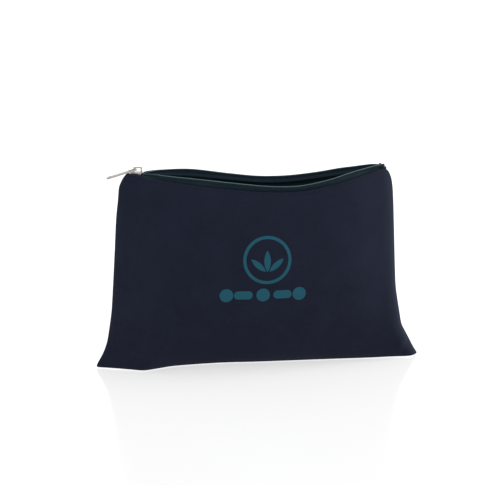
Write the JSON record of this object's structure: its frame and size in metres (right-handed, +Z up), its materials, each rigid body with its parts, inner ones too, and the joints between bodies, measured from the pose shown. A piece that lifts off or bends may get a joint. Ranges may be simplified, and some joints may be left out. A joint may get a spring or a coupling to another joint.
{
  "type": "pencil case",
  "caption": "Flat canvas zip pouch for pens and pencils, standing open on its bottom seam, with a coil zip along the mouth and a metal slider with a pull tab.",
  "frame": {"origin": "under the middle of the pouch, on the surface it stands on", "axes": "+X along the zip towards its closed end, -Y out of the printed front, +Z up"},
  "size_m": [0.268, 0.0718, 0.166],
  "materials": {
    "canvas": "plain-weave cotton canvas, matt",
    "zip_tape": "woven polyester tape",
    "zip_coil": "nylon coil, satin",
    "nickel": "nickel plated, soft polish",
    "thread": "polyester sewing thread",
    "binding": "woven binding tape"
  },
  "bodies": {
    "pouch": {"front_panel": "canvas", "back_panel": "canvas", "front_zip_tape": "zip_tape", "back_zip_tape": "zip_tape", "front_zip_coil": "zip_coil", "back_zip_coil": "zip_coil", "closed_chain": "zip_tape", "bottom_stop": "nickel", "front_top_stop": "zip_coil", "back_top_stop": "zip_coil", "front_topstitch": "thread", "back_topstitch": "thread", "left_seam_binding": "binding", "right_seam_binding": "binding", "bottom_seam_binding": "binding"},
    "slider": {"slider_body": "nickel", "slider_bridge": "nickel"},
    "pull_tab": {"pull_tab": "nickel"}
  },
  "joints": [
    {"name": "zip_slide", "type": "slide", "parent": "pouch", "child": "slider", "axis": [0.9999, 0, 0.0134], "range_m": [0, 0.198]},
    {"name": "pull_tab", "type": "hinge", "parent": "slider", "child": "pull_tab", "pos_m": [-0.1014, 0, 0.16395], "axis": [0, 1, 0], "range_deg": [0, 188]}
  ]
}
